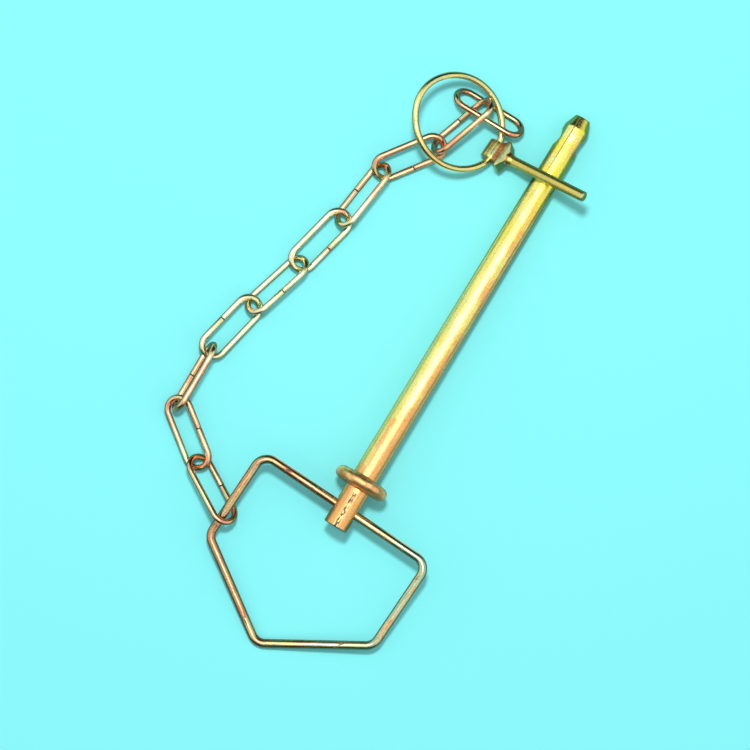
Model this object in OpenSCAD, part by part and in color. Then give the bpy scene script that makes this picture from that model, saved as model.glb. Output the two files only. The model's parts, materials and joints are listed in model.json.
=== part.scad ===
// Hitch pin with its wire handle, a ten-link chain and the lynch pin that locks it.
// The set lies as it comes to rest on a flat surface. The origin is the centre of
// the collar's bearing face, and +X runs along the shaft to its tip.

/* [Shaft] */
// Diameter of the shaft
shaft_d = 12; // [11:0.5:15]
// Length of the shaft from the collar's bearing face to the tip
shaft_l = 198; // [188:1:215]
// Length of the tapered tip
tip_l = 6; // [3:0.5:9]
// Diameter of the flat end of the tip
tip_d = 7.5; // [5:0.5:9]
// Diameter of the collar
collar_d = 27; // [24:0.5:34]
// Thickness of the collar, whose rim is a full round
collar_t = 6.4; // [5:0.2:9]
// Length of the stub behind the collar
stub_l = 20.7; // [18:0.1:28]
// Diameter of the hole that takes the handle
eye_d = 5; // [4.8:0.1:6]
// Distance from the stub's end to the middle of the handle's hole
eye_from_end = 9.6; // [7:0.1:11]
// Diameter of the hole that takes the lynch pin
pin_hole_d = 6.3; // [6:0.1:7.5]
// Distance from the tip to the middle of the lynch pin's hole
pin_hole_from_tip = 13.2; // [11:0.1:18]

/* [Handle] */
// Diameter of the handle's wire
handle_wire_d = 4.2; // [3.6:0.1:4.3]
// Width of the handle between the centres of its two sides
handle_w = 93; // [82:1:102]
// Length of each straight side, from the hole's line to the slanting wire
handle_side = 46.5; // [40:0.5:52]
// Depth of the handle from the hole's line to its point
handle_depth = 76.8; // [68:0.2:84]
// Radius of the handle's bends, at the wire's centre
handle_bend_r = 6.5; // [4:0.5:9]
// Gap between the wire's two ends, inside the shaft's hole
handle_seam = 1; // [0.4:0.1:2]

/* [Chain] */
// Diameter of the chain's wire
chain_wire_d = 2.9; // [2.6:0.1:3.1]
// Length inside one link
link_pitch = 32; // [31:0.5:35]
// Width over one link
link_w = 14.5; // [14:0.1:16]
// Gap between the two ends of a link's wire, in the middle of one leg
link_seam = 0.35; // [0.2:0.05:0.6]

/* [Lynch pin] */
// Diameter of the stem
stem_d = 5; // [4.5:0.1:5.4]
// Length of the pin from the ring's hole to the stem's end
stem_l = 52; // [46:1:60]
// Length of the chamfer on the stem's end
stem_chamfer = 0.5; // [0.3:0.1:1]
// Diameter of the round head
head_d = 8.8; // [8:0.1:10]
// Width of the round head, along the ring's hole
head_w = 9; // [8:0.2:11]
// Width of the flange between the head and the stem
flange_w = 14; // [12:0.5:17]
// Thickness of the flange
flange_t = 1.4; // [1:0.1:2]
// Distance from the ring's hole to the flange's face on the stem's side
flange_x = 7; // [6.4:0.1:9]
// Diameter of the neck between the flange and the stem
neck_d = 6.6; // [6:0.1:7.4]
// Length of the neck, and of the taper from it to the stem
neck_l = 2.2; // [1.6:0.1:3]
// Diameter of the hole that takes the ring's ends
ring_hole_d = 3.5; // [3.4:0.05:3.9]

/* [Ring] */
// Diameter of the ring's wire
ring_wire_d = 3.1; // [2.8:0.1:3.2]
// Length of the ring from the head's hole to its far side, at the wire's centre
ring_l = 47.2; // [46:0.2:54]
// Width of the ring, at the wire's centre
ring_w = 43; // [39:0.2:45]
// Radius of the ring's two ends, at the wire's centre
ring_end_r = 18.5; // [17:0.1:19]
// Radius of the bend where the ring turns into the head, at the wire's centre
ring_turn_r = 3; // [2:0.1:4]
// Gap between the ring's two ends, inside the head
ring_seam = 1; // [0.4:0.1:2]

/* [Clearances] */
// Clearance between pieces that hang on each other
clearance = 0.25; // [0.2:0.05:0.35]
// Clearance between the stowed lynch pin and the shaft under it
stow_clearance = 0.85; // [0.7:0.05:1.2]

/* [Resting pose] */
// Turn of the handle in its hole, seen from above
handle_turn = -2.6; // [-4:0.2:0]
// Distance from the handle's corner to the first link
first_link_at = 33.4; // [26:0.2:36]
// Distance along the shaft from the lynch pin's hole back to the stowed pin
stow_back = 20.7; // [14:0.1:26]
// Distance of the stowed pin's head from the shaft's axis, seen from above
stow_side = 28; // [25:0.5:32]
// Turn of the stowed pin off the square across the shaft
stow_turn = 2.6; // [0:0.2:6]
// Tilt of the ring's hole against the surface
head_tilt = 12; // [10:0.5:16]
// Angle from the stem to the ring, about the ring's hole
ring_open = 134; // [130:0.5:138]

/* [Hidden] */
$fn = 48;

// Headings of links 1 to 9 off the chain's own line, and how far each link is
// turned about its length. A positive turn lifts the link's left side.
LINK_HEADINGS = [60.4, 53.5, 0.7, -12.4, -16.6, -13.2, -7.3, -36.6, -19.2];
LINK_TURNS = [37, -22, -73, 17, -42, 17, -47, 21, -57];
// Side on which each link's seam lies: 1 is left and -1 is right
LINK_SEAMS = [-1, -1, 1, 1, -1, -1, 1, -1, 1, 1];
// Heading and turn of link 10, which the ring holds across the chain
LAST_HEADING = -90.3;
LAST_TURN = -48;

// ---- Vectors ----

function unit(v) = v / norm(v);
function heading_vector(a) = [cos(a), sin(a), 0];
function left_of(h) = [-h.y, h.x, 0];
// Matrix that puts local +X along u and local +Y along w, with its origin at p
function frame_matrix(p, u, w) =
    let (n = cross(u, w))
    [[u.x, w.x, n.x, p.x], [u.y, w.y, n.y, p.y], [u.z, w.z, n.z, p.z], [0, 0, 0, 1]];

// ---- Shaft: it rests on the collar's rim and on the end of the tip's taper ----

collar_r = (collar_d - collar_t) / 2;
rim_r = collar_t / 2;
taper_back = rim_r + shaft_l - tip_l;
taper_up = collar_r - shaft_d / 2;
shaft_tilt = atan2(taper_up, taper_back) + asin(rim_r / norm([taper_back, taper_up]));
shaft_dir = [cos(shaft_tilt), 0, -sin(shaft_tilt)];
seat_z = collar_r * cos(shaft_tilt) + rim_r - rim_r * sin(shaft_tilt);
// Point on the shaft's axis at a distance from the collar's bearing face
function on_shaft(s) = [0, 0, seat_z] + s * shaft_dir;
stub_end = -(collar_t + stub_l);
eye_at = stub_end + eye_from_end;
pin_hole_at = shaft_l - pin_hole_from_tip;

// ---- Handle: its point rests on the surface ----

edge_dx = handle_depth - handle_side;
edge_turn = atan2(handle_w / 2, edge_dx);
edge_l = norm([handle_w / 2, edge_dx]);
edge_tangent = handle_bend_r * tan(edge_turn / 2);
point_turn = 180 - 2 * edge_turn;
point_tangent = handle_bend_r * tan(point_turn / 2);
point_reach = handle_depth - handle_bend_r * (1 / cos(point_turn / 2) - 1);
handle_eye = on_shaft(eye_at);
handle_lean = asin((handle_eye.z - handle_wire_d / 2) / point_reach);
handle_across = [-sin(handle_turn), cos(handle_turn), 0];
handle_back = cos(handle_lean) * [-cos(handle_turn), -sin(handle_turn), 0]
            + sin(handle_lean) * [0, 0, -1];
handle_side_point = handle_eye + first_link_at * handle_back + handle_w / 2 * handle_across;

// ---- Lynch pin: its head rests on the surface, and its stem lies over the shaft ----

head_z = head_w / 2 * sin(head_tilt) + head_d / 2 * cos(head_tilt);
// The stowed pin stays within reach of the chain: this share of its stretched length
reach_share = 0.92;
chain_reach = reach_share * len(LINK_HEADINGS) * (link_pitch - chain_wire_d);
stow_at = min(pin_hole_at - stow_back, handle_side_point.x + chain_reach);
stow_axis = on_shaft(stow_at);
stow_rise = stow_axis.z - head_z;
stow_run = stow_side / cos(stow_turn);
stow_over = (shaft_d + stem_d) / 2 + stow_clearance;
stem_slope = atan2(stow_rise, stow_run) + asin(stow_over / norm([stow_run, stow_rise]));
stem_plan = heading_vector(stow_turn - 90);
stem_dir = cos(stem_slope) * stem_plan + sin(stem_slope) * [0, 0, 1];
head_p = [stow_axis.x, stow_axis.y, head_z] - stow_run * stem_plan;
hinge_turn = -asin(sin(head_tilt) / cos(stem_slope));
hinge_side = left_of(stem_plan);
hinge_up = cross(stem_dir, hinge_side);
hinge_dir = cos(hinge_turn) * hinge_side + sin(hinge_turn) * hinge_up;
head_up = cross(stem_dir, hinge_dir);

// ---- Ring: an oval of four arcs, hinged in the head ----

ring_end_c = ring_l / 2 - ring_end_r;
ring_side_d = ring_w / 2 - ring_end_r;
ring_side_c = (ring_end_c ^ 2 - ring_side_d ^ 2) / (2 * ring_side_d);
ring_side_r = ring_w / 2 + ring_side_c;
ring_end_angle = atan2(ring_side_c, ring_end_c);
ring_stub = head_w / 2 + clearance;
ring_turn_angle = asin(ring_stub / (ring_end_r - ring_turn_r));
ring_dir = cos(ring_open) * stem_dir + sin(ring_open) * head_up;
// The ring's centre line starts this far from the end arc's middle
ring_start = ring_turn_r + (ring_end_r - ring_turn_r) * cos(ring_turn_angle);
// Point on the ring's end arc by the head, at an angle from the head's side
function on_ring(a) =
    head_p + ring_end_r * sin(a) * hinge_dir + (ring_start - ring_end_r * cos(a)) * ring_dir;

// ---- Chain ----

nose_r = (link_w - chain_wire_d) / 2;
nose_span = link_pitch + chain_wire_d - 2 * nose_r;
nose_lap = chain_wire_d + clearance;
nose_play = nose_r - nose_lap;
// Each level link lies this far above the surface
link_lift = 0.1;
function turned_z(turn) = chain_wire_d / 2 + link_lift + nose_r * abs(sin(turn));

// A link is [near nose centre, length direction, width direction]
function link_at(p, heading, rise, turn) =
    let (h = heading_vector(heading),
         n = left_of(h),
         u = cos(rise) * h + sin(rise) * [0, 0, 1],
         up = cross(u, n))
    [p, u, cos(turn) * n + sin(turn) * up];
function far_nose(link) = link[0] + nose_span * link[1];

// Distance by which each link lies back from the nose that it hangs in
link_slack = 2.1;
// Share of a nose's play by which the contact may slide along it
edge_share = 0.5;
function clamp(x, limit) = max(-limit, min(limit, x));
// Direction in a link's own plane that is nearest to the pull g
function toward(link, g) = unit((g * link[1]) * link[1] + (g * link[2]) * link[2]);
// Near nose centre of the link that hangs in this one's far nose. The contact
// slides along the nose of whichever link is more on edge, to suit both heights.
function next_nose(link, heading, turn) =
    let (f = far_nose(link),
         next = link_at([0, 0, 0], heading, 0, turn),
         pull = unit(heading_vector(heading) + unit([link[1].x, link[1].y, 0])),
         here = toward(link, pull),
         there = toward(next, pull),
         edge = abs(link[2].z) >= abs(next[2].z),
         w = edge ? link[2] : next[2],
         s = clamp((turned_z(turn) - f.z) / (nose_play * w.z), edge_share),
         c = sqrt(1 - s * s),
         p = edge ? f + nose_play * c * here + (nose_r - link_slack) * there
                  : f + (nose_r - link_slack) * here + nose_play * c * there,
         q = p + nose_play * s * w)
    [q.x, q.y, f.z + nose_play * s * w.z];
function next_link(link, heading, turn, far_z) =
    let (p = next_nose(link, heading, turn),
         rise = asin((far_z - p.z) / nose_span))
    link_at(p, heading, rise, turn);
// Height of a link's far nose: level, or high enough to lie on the leg of a next
// link that stands more on edge
function far_height(i) =
    let (turn = LINK_TURNS[i], next = i + 1 < len(LINK_TURNS) ? LINK_TURNS[i + 1] : 0)
    max(turned_z(turn), turned_z(next) - edge_share * nose_play * abs(sin(next)));

// Link 1 hangs on the handle's side: its near nose's centre is this far past the
// wire and above it, and its far nose comes down to the level
first_past = 0.8;
first_lift = 0.4;
function first_link(heading) =
    let (p = handle_side_point + first_past * heading_vector(heading) + [0, 0, first_lift],
         rise = asin((turned_z(LINK_TURNS[0]) + first_lift - p.z) / nose_span))
    link_at(p, heading, rise, LINK_TURNS[0]);

// Link 10 lies across the chain, and the ring passes through its far nose: at this
// angle on the ring, with the nose's centre this far ahead of it and to its left
hook_angle = 42;
hook_along = 3.4;
hook_aside = 1.8;
last_h = heading_vector(LAST_HEADING);
last_hook = on_ring(hook_angle) + hook_along * last_h + hook_aside * left_of(last_h);
last_far = [last_hook.x, last_hook.y, turned_z(LAST_TURN)];
link_ten = link_at(last_far - nose_span * last_h, LAST_HEADING, 0, LAST_TURN);

// Link 9 wraps the raised leg of link 10, this far from its far nose's centre, and
// its own far nose's centre lies this far past that leg
wrap_at = 15.2;
wrap_past = 2.9;
chain_end = last_far - wrap_at * last_h - nose_r * link_ten[2] + wrap_past * left_of(last_h);

// Links 1 to 9: each heads at base, turned on by bend times its LINK_HEADINGS
function chain(base, bend, i = 0, links = []) =
    i == len(LINK_HEADINGS) ? links :
    let (heading = base + bend * LINK_HEADINGS[i],
         far_z = i == len(LINK_HEADINGS) - 1 ? chain_end.z : far_height(i),
         link = i == 0 ? first_link(heading)
                       : next_link(links[i - 1], heading, LINK_TURNS[i], far_z))
    chain(base, bend, i + 1, concat(links, [link]));

// Plan vector from the handle's side to the end of a chain with the heading base 0
function chain_run(bend) =
    let (links = chain(0, bend), v = far_nose(links[len(links) - 1]) - handle_side_point)
    [v.x, v.y];
function plan_angle(v) = atan2(v.y, v.x);
// The bend at which the chain just bridges a distance, by halving
function solve_bend(distance, low, high, steps) =
    let (middle = (low + high) / 2)
    steps == 0 ? middle :
    norm(chain_run(middle)) > distance ? solve_bend(distance, middle, high, steps - 1)
                                       : solve_bend(distance, low, middle, steps - 1);
chain_gap = [chain_end.x - handle_side_point.x, chain_end.y - handle_side_point.y];
max_bend = 2;
bend_steps = 14;
chain_bend = solve_bend(norm(chain_gap), 0, max_bend, bend_steps);
chain_base = plan_angle(chain_gap) - plan_angle(chain_run(chain_bend));
LINKS = concat(chain(chain_base, chain_bend), [link_ten]);

// ---- Wire ----

// A wire's path is a list of straight runs and bends. A positive turn goes left.
function run(length) = [length, 0, 0];
function bend(turn, r) = [0, turn, r];
// The pose [x, y, heading] after a run or a bend
function after(pose, move) =
    let (a = pose[2] + move[1], r = sign(move[1]) * move[2])
    [pose[0] + move[0] * cos(a) + r * (sin(a) - sin(pose[2])),
     pose[1] + move[0] * sin(a) - r * (cos(a) - cos(pose[2])),
     a];
// Every second stretch is a hair thicker, and its neighbours run on into it, so
// that the stretches join cleanly
wire_hair = 0.02;
wire_lap = 0.2;

module wire_run(d, length, lap_in, lap_out) {
    rotate([0, 90, 0])
        translate([0, 0, -lap_in]) cylinder(d = d, h = length + lap_in + lap_out);
}

module wire_bend(d, turn, r, lap_in, lap_out) {
    angle_in = lap_in / r * 180 / PI;
    angle_out = lap_out / r * 180 / PI;
    mirror([0, turn < 0 ? 1 : 0, 0])
        translate([0, r, 0])
            rotate(-90 - angle_in)
                rotate_extrude(angle = abs(turn) + angle_in + angle_out)
                    translate([r, 0]) circle(d = d);
}

module bent_wire(d, moves, i = 0, pose = [0, 0, 0]) {
    if (i < len(moves)) {
        thick = i % 2 == 1;
        size = thick ? d + wire_hair : d;
        lap_in = thick || i == 0 ? 0 : wire_lap;
        lap_out = thick || i == len(moves) - 1 ? 0 : wire_lap;
        translate([pose[0], pose[1], 0])
            rotate(pose[2]) {
                if (moves[i][1] == 0)
                    wire_run(size, moves[i][0], lap_in, lap_out);
                else
                    wire_bend(size, moves[i][1], moves[i][2], lap_in, lap_out);
            }
        bent_wire(d, moves, i + 1, after(pose, moves[i]));
    }
}

// ---- Pieces ----

module on_table() {
    translate([0, 0, -seat_z]) children();
}

module along_x() {
    rotate([0, 90, 0]) children();
}

module shaft_blank() {
    stub_chamfer = 0.5;
    along_x() {
        translate([0, 0, stub_end])
            cylinder(d1 = shaft_d - 2 * stub_chamfer, d2 = shaft_d, h = stub_chamfer);
        translate([0, 0, stub_end + stub_chamfer])
            cylinder(d = shaft_d, h = shaft_l - tip_l - stub_end - stub_chamfer);
        translate([0, 0, shaft_l - tip_l]) cylinder(d1 = shaft_d, d2 = tip_d, h = tip_l);
        translate([0, 0, -rim_r]) rotate_extrude() {
            translate([0, -rim_r]) square([collar_r, collar_t]);
            translate([collar_r, 0]) circle(r = rim_r);
        }
    }
}

module cross_hole(at, d) {
    translate([at, 0, 0]) rotate([90, 0, 0]) cylinder(d = d, h = 2 * shaft_d, center = true);
}

module shaft() {
    color("gold") on_table() multmatrix(frame_matrix(on_shaft(0), shaft_dir, [0, 1, 0]))
        difference() {
            shaft_blank();
            cross_hole(eye_at, eye_d);
            cross_hole(pin_hole_at, pin_hole_d);
        }
}

module handle() {
    half_base = (handle_w - handle_seam) / 2 - handle_bend_r;
    side_run = handle_side - handle_bend_r - edge_tangent;
    edge_run = edge_l - edge_tangent - point_tangent;
    corner = bend(90, handle_bend_r);
    edge_bend = bend(edge_turn, handle_bend_r);
    moves = [run(half_base), corner, run(side_run), edge_bend, run(edge_run),
             bend(point_turn, handle_bend_r),
             run(edge_run), edge_bend, run(side_run), corner, run(half_base)];
    start = handle_eye + handle_seam / 2 * handle_across;
    color("peru") on_table() multmatrix(frame_matrix(start, handle_across, handle_back))
        bent_wire(handle_wire_d, moves);
}

module chain_link(i) {
    half_leg = (nose_span - link_seam) / 2;
    nose = bend(-180, nose_r);
    moves = [run(half_leg), nose, run(nose_span), nose, run(half_leg)];
    link = LINKS[i];
    color("tan") on_table() multmatrix(frame_matrix(link[0], link[1], link[2]))
        mirror([0, LINK_SEAMS[i] < 0 ? 1 : 0, 0])
            translate([half_leg + link_seam, nose_r, 0])
                bent_wire(chain_wire_d, moves);
}

module link_01() { chain_link(0); }
module link_02() { chain_link(1); }
module link_03() { chain_link(2); }
module link_04() { chain_link(3); }
module link_05() { chain_link(4); }
module link_06() { chain_link(5); }
module link_07() { chain_link(6); }
module link_08() { chain_link(7); }
module link_09() { chain_link(8); }
module link_10() { chain_link(9); }

module ring() {
    end_run = run(ring_stub - ring_seam / 2);
    turn_bend = bend(ring_turn_angle, ring_turn_r);
    end_bend = bend(ring_end_angle - ring_turn_angle, ring_end_r);
    side_bend = bend(180 - 2 * ring_end_angle, ring_side_r);
    far_bend = bend(2 * ring_end_angle, ring_end_r);
    moves = [end_run, turn_bend, end_bend, side_bend, far_bend,
             side_bend, end_bend, turn_bend, end_run];
    start = head_p + ring_seam / 2 * hinge_dir;
    color("khaki") on_table() multmatrix(frame_matrix(start, hinge_dir, ring_dir))
        bent_wire(ring_wire_d, moves);
}

// The head's slopes end inside the neck, on this width
root_d = neck_d - 1;

// Outline of the head from above: straight sides that flare out to the flange
module head_plan() {
    flare_start = 1;
    flare_step = 15;
    flare_l = flange_x - flange_t - flare_start;
    flare_w = (flange_w - head_w) / 2;
    flare = [for (a = [0:flare_step:90])
        [flare_start + flare_l * sin(a), head_w / 2 + flare_w * (1 - cos(a))]];
    side = concat([[-head_d, head_w / 2]], flare,
                  [[flange_x - flange_t / 2, flange_w / 2], [flange_x + neck_l, root_d / 2]]);
    far_side = [for (i = [len(side) - 1:-1:0]) [side[i].x, -side[i].y]];
    polygon(concat(side, far_side));
}

// Outline of the head from the side: round about the ring's hole
module head_side() {
    circle(d = head_d);
    polygon([[0, head_d / 2], [flange_x, head_d / 2], [flange_x + neck_l, root_d / 2],
             [flange_x + neck_l, -root_d / 2], [flange_x, -head_d / 2], [0, -head_d / 2]]);
}

module lynch_pin() {
    color("darkkhaki") on_table() multmatrix(frame_matrix(head_p, stem_dir, hinge_dir))
        difference() {
            union() {
                intersection() {
                    translate([0, 0, -head_d]) linear_extrude(2 * head_d) head_plan();
                    rotate([90, 0, 0])
                        translate([0, 0, -flange_w]) linear_extrude(2 * flange_w) head_side();
                }
                along_x() cylinder(d = neck_d, h = flange_x + neck_l);
                along_x() translate([0, 0, flange_x + neck_l])
                    cylinder(d1 = neck_d, d2 = stem_d, h = neck_l);
                along_x() cylinder(d = stem_d, h = stem_l - stem_chamfer);
                along_x() translate([0, 0, stem_l - stem_chamfer])
                    cylinder(d1 = stem_d, d2 = stem_d - 2 * stem_chamfer, h = stem_chamfer);
            }
            rotate([90, 0, 0]) cylinder(d = ring_hole_d, h = 2 * flange_w, center = true);
        }
}

shaft();
handle();
link_01();
link_02();
link_03();
link_04();
link_05();
link_06();
link_07();
link_08();
link_09();
link_10();
ring();
lynch_pin();
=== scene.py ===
"""Hitch pin with wire handle, chain and lynch pin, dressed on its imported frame.

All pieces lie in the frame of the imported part, in metres. The origin is the middle of
the collar's bearing face, and the shaft points along +X and a little down. Each piece is
modelled about its own axes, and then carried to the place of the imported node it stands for.
"""

import json
import math

import bpy
import numpy as np
from bpy.props import FloatProperty, FloatVectorProperty, IntProperty, PointerProperty
from mathutils import Matrix, Vector


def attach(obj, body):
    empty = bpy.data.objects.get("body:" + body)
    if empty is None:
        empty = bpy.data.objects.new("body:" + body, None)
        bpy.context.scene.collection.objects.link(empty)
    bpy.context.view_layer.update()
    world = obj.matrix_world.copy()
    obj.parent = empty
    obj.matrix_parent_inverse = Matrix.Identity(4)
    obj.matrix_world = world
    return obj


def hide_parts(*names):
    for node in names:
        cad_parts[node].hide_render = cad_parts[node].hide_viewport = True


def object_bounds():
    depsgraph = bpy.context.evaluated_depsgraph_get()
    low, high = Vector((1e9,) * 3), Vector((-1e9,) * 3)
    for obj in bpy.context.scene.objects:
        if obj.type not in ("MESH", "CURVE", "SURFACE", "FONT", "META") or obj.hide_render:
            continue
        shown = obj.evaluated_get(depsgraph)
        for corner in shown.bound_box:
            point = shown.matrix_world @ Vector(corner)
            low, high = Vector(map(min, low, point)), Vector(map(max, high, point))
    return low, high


bl_info = {
    "name": "Hitch Pin Dresser",
    "version": (1, 0, 0),
    "blender": (4, 5, 0),
    "location": "3D View > Sidebar > Hitch Pin",
    "description": "Dresses a hitch pin set: shaft, handle, chain, ring and lynch pin",
    "category": "Add Mesh",
}

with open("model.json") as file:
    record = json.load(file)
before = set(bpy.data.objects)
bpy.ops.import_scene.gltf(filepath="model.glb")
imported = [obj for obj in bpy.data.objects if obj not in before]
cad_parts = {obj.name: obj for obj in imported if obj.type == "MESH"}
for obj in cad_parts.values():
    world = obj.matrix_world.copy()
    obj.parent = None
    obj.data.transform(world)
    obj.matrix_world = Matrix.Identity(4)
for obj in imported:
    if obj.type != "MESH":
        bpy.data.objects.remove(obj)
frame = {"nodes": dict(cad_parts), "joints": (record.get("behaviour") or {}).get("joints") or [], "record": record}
CAD_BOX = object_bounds()
FLOOR_Z = CAD_BOX[0].z
LINK_NODES = sorted(name for name in frame["nodes"] if name.startswith("link_"))
JOINTS = {joint["name"]: joint for joint in frame["joints"]}
MOUNTS = {mount["name"]: mount for mount in frame["record"]["mounts"]}
MM = 0.001


# ---------------------------------------------------------------- settings


def size(name, description, millimetres):
    """A length that the user can set, given in millimetres and kept in metres."""
    return FloatProperty(
        name=name,
        description=description,
        default=millimetres * MM,
        unit="LENGTH",
        precision=5,
    )


def tint(name, description, colour):
    """A colour that the user can set."""
    return FloatVectorProperty(
        name=name,
        description=description,
        default=colour,
        subtype="COLOR",
        min=0.0,
        max=1.0,
    )


class HitchPinShaftSettings(bpy.types.PropertyGroup):
    """Sizes of the shaft and its collar."""

    diameter: size("Diameter", "Diameter of the shaft", 12)
    length: size("Length", "From the collar's bearing face to the tip", 198)
    tip_length: size("Tip length", "Length of the tapered tip", 6)
    tip_diameter: size("Tip diameter", "Diameter of the flat end of the tip", 7.5)
    collar_diameter: size("Collar diameter", "Diameter over the collar", 27)
    collar_thickness: size("Collar thickness", "Thickness of the collar", 6.4)
    collar_fillet: size("Collar fillet", "Fillet between collar and shaft", 0.45)
    collar_dents: size("Collar dents", "Depth of the hammer marks on the collar", 0.8)
    stub_length: size("Stub length", "Length of the stub behind the collar", 20.7)
    eye_diameter: size("Eye", "Diameter of the handle's hole", 5)
    eye_from_end: size("Eye from end", "From the stub's end to the middle of the eye", 9.6)
    pin_hole_diameter: size("Pin hole", "Diameter of the lynch pin's hole", 6.3)
    pin_hole_from_tip: size("Pin hole from tip", "From the tip to the pin hole", 13.2)
    countersink: size("Countersink", "Width of the countersink round both holes", 0.5)
    edge_round: size("Edge rounding", "Rounding of the edges", 0.35)
    sides: IntProperty(
        name="Sides", description="Faces round the shaft", default=96, min=12
    )


class HitchPinHandleSettings(bpy.types.PropertyGroup):
    """Sizes of the bent wire handle."""

    wire: size("Wire", "Diameter of the handle's wire", 4.2)
    width: size("Width", "Width between the centres of the two sides", 93)
    side: size("Side", "From the eye's line to the slanting wire", 46.5)
    depth: size("Depth", "From the eye's line to the handle's point", 76.8)
    bend_radius: size("Bend radius", "Radius of the bends at the wire's centre", 6.5)
    seam: size("Seam", "Gap between the wire's ends inside the shaft", 1)


class HitchPinChainSettings(bpy.types.PropertyGroup):
    """Sizes of the chain's links."""

    wire: size("Wire", "Diameter of the chain's wire", 2.9)
    pitch: size("Pitch", "Length inside one link", 32)
    width: size("Width", "Width over one link", 14.5)
    seam: size("Seam", "Gap between the ends of a link's wire", 0.12)


class HitchPinRingSettings(bpy.types.PropertyGroup):
    """Sizes of the oval ring."""

    wire: size("Wire", "Diameter of the ring's wire", 3.1)
    length: size("Length", "From the hinge to the far side, at the wire's centre", 47.2)
    width: size("Width", "Width at the wire's centre", 43)
    end_radius: size("End radius", "Radius of the ring's two ends", 18.5)
    turn_radius: size("Turn radius", "Radius of the bend into the lynch pin's head", 3)
    seam: size("Seam", "Gap between the ring's ends inside the head", 1)


class HitchPinLynchPinSettings(bpy.types.PropertyGroup):
    """Sizes of the lynch pin."""

    stem_diameter: size("Stem", "Diameter of the stem", 5)
    stem_length: size("Stem length", "From the ring's hole to the stem's end", 52)
    stem_chamfer: size("Stem chamfer", "Chamfer on the stem's end", 0.5)
    head_diameter: size("Head", "Diameter of the round head", 8.8)
    head_width: size("Head width", "Width of the head along the ring's hole", 9)
    flange_width: size("Flange width", "Width of the flange between head and stem", 14)
    flange_thickness: size("Flange thickness", "Thickness of the flange", 1.4)
    flange_place: size("Flange place", "From the ring's hole to the flange's front", 7)
    neck_diameter: size("Neck", "Diameter of the neck between flange and stem", 6.6)
    neck_length: size("Neck length", "Length of the neck, and of its taper", 2.2)
    ring_hole: size("Ring hole", "Diameter of the hole that takes the ring", 3.5)
    clearance: size("Clearance", "Gap between the head and the ring's bends", 0.25)


class HitchPinFinishSettings(bpy.types.PropertyGroup):
    """Tints of the yellow plating on each piece."""

    wire_sides: IntProperty(
        name="Wire sides", description="Faces round each wire", default=28, min=8
    )
    shaft_light: tint("Shaft, light", "Main tint of the shaft", (0.96, 0.84, 0.22))
    shaft_tip: tint("Shaft, tip", "Main tint near the shaft's tip", (0.98, 0.83, 0.08))
    shaft_warm: tint("Shaft, warm", "Warm patches on the shaft", (0.95, 0.46, 0.13))
    shaft_green: tint("Shaft, green", "Green patches on the shaft", (0.90, 0.92, 0.30))
    handle_light: tint("Handle, light", "Main tint of the handle", (0.75, 0.56, 0.23))
    handle_warm: tint("Handle, warm", "Copper patches on the handle", (0.62, 0.24, 0.10))
    handle_green: tint("Handle, green", "Green patches on the handle", (0.45, 0.56, 0.35))
    chain_light: tint("Chain, light", "Main tint of the chain", (0.80, 0.57, 0.28))
    chain_pale: tint("Chain, pale", "Main tint in its middle", (0.88, 0.76, 0.48))
    chain_warm: tint("Chain, warm", "Copper patches on the chain", (0.80, 0.34, 0.18))
    chain_green: tint("Chain, green", "Green patches on the chain", (0.80, 0.82, 0.38))
    ring_light: tint("Ring, light", "Main tint of the ring", (0.84, 0.74, 0.26))
    ring_warm: tint("Ring, warm", "Warm patches on the ring", (0.76, 0.48, 0.14))
    ring_green: tint("Ring, green", "Green patches on the ring", (0.70, 0.76, 0.38))
    pin_light: tint("Pin, light", "Main tint of the lynch pin", (0.70, 0.59, 0.12))
    # The head's tint is the main tint darkened: painted shade on the head
    pin_head_painted_shade: tint("Pin, head", "Main tint of the lynch pin's head", (0.50, 0.43, 0.085))
    pin_warm: tint("Pin, warm", "Warm patches on the lynch pin", (0.58, 0.23, 0.08))
    pin_green: tint("Pin, green", "Green patches on the lynch pin", (0.56, 0.62, 0.26))
    stain: tint("Stain", "Dark stains, pits and cut ends", (0.05, 0.022, 0.012))
    bare: tint("Bare metal", "Metal that shows where edges are worn", (0.86, 0.84, 0.74))


class HitchPinStageSettings(bpy.types.PropertyGroup):
    """Floor, light and camera."""

    floor_colour: tint("Floor", "Colour of the plain floor", (0.27, 0.98, 1.0))
    dim_floor: tint("Dim floor", "Floor that metal shows at its ends", (0.09, 0.33, 0.33))
    lit_floor: tint("Lit floor", "Floor that metal shows beside it", (0.60, 0.92, 0.82))
    key_power: FloatProperty(
        name="Key light", description="Power of the overhead light, in watts", default=14.0
    )
    key_size: size("Key size", "Diameter of the overhead light", 220)
    key_distance: size("Key distance", "From the object to the overhead light", 1600)
    key_elevation: FloatProperty(
        name="Key elevation",
        description="Height of the overhead light over the horizon",
        default=math.radians(75),
        subtype="ANGLE",
    )
    view_azimuth: FloatProperty(
        name="View azimuth",
        description="Turn of the camera round the object",
        default=math.radians(301.3),
        subtype="ANGLE",
    )
    view_elevation: FloatProperty(
        name="View elevation",
        description="Height of the camera over the horizon",
        default=math.radians(88),
        subtype="ANGLE",
    )
    view_width: size("View width", "Width that the camera sees at the object", 353)
    view_distance: size("View distance", "From the object to the camera", 2400)


# ---------------------------------------------------------------- places in the frame


def direction(vector):
    """A unit vector."""
    return Vector(vector).normalized()


def square_to(vector, axis):
    """The unit vector nearest to this one that is square to an axis."""
    return (vector - vector.dot(axis) * axis).normalized()


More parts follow.
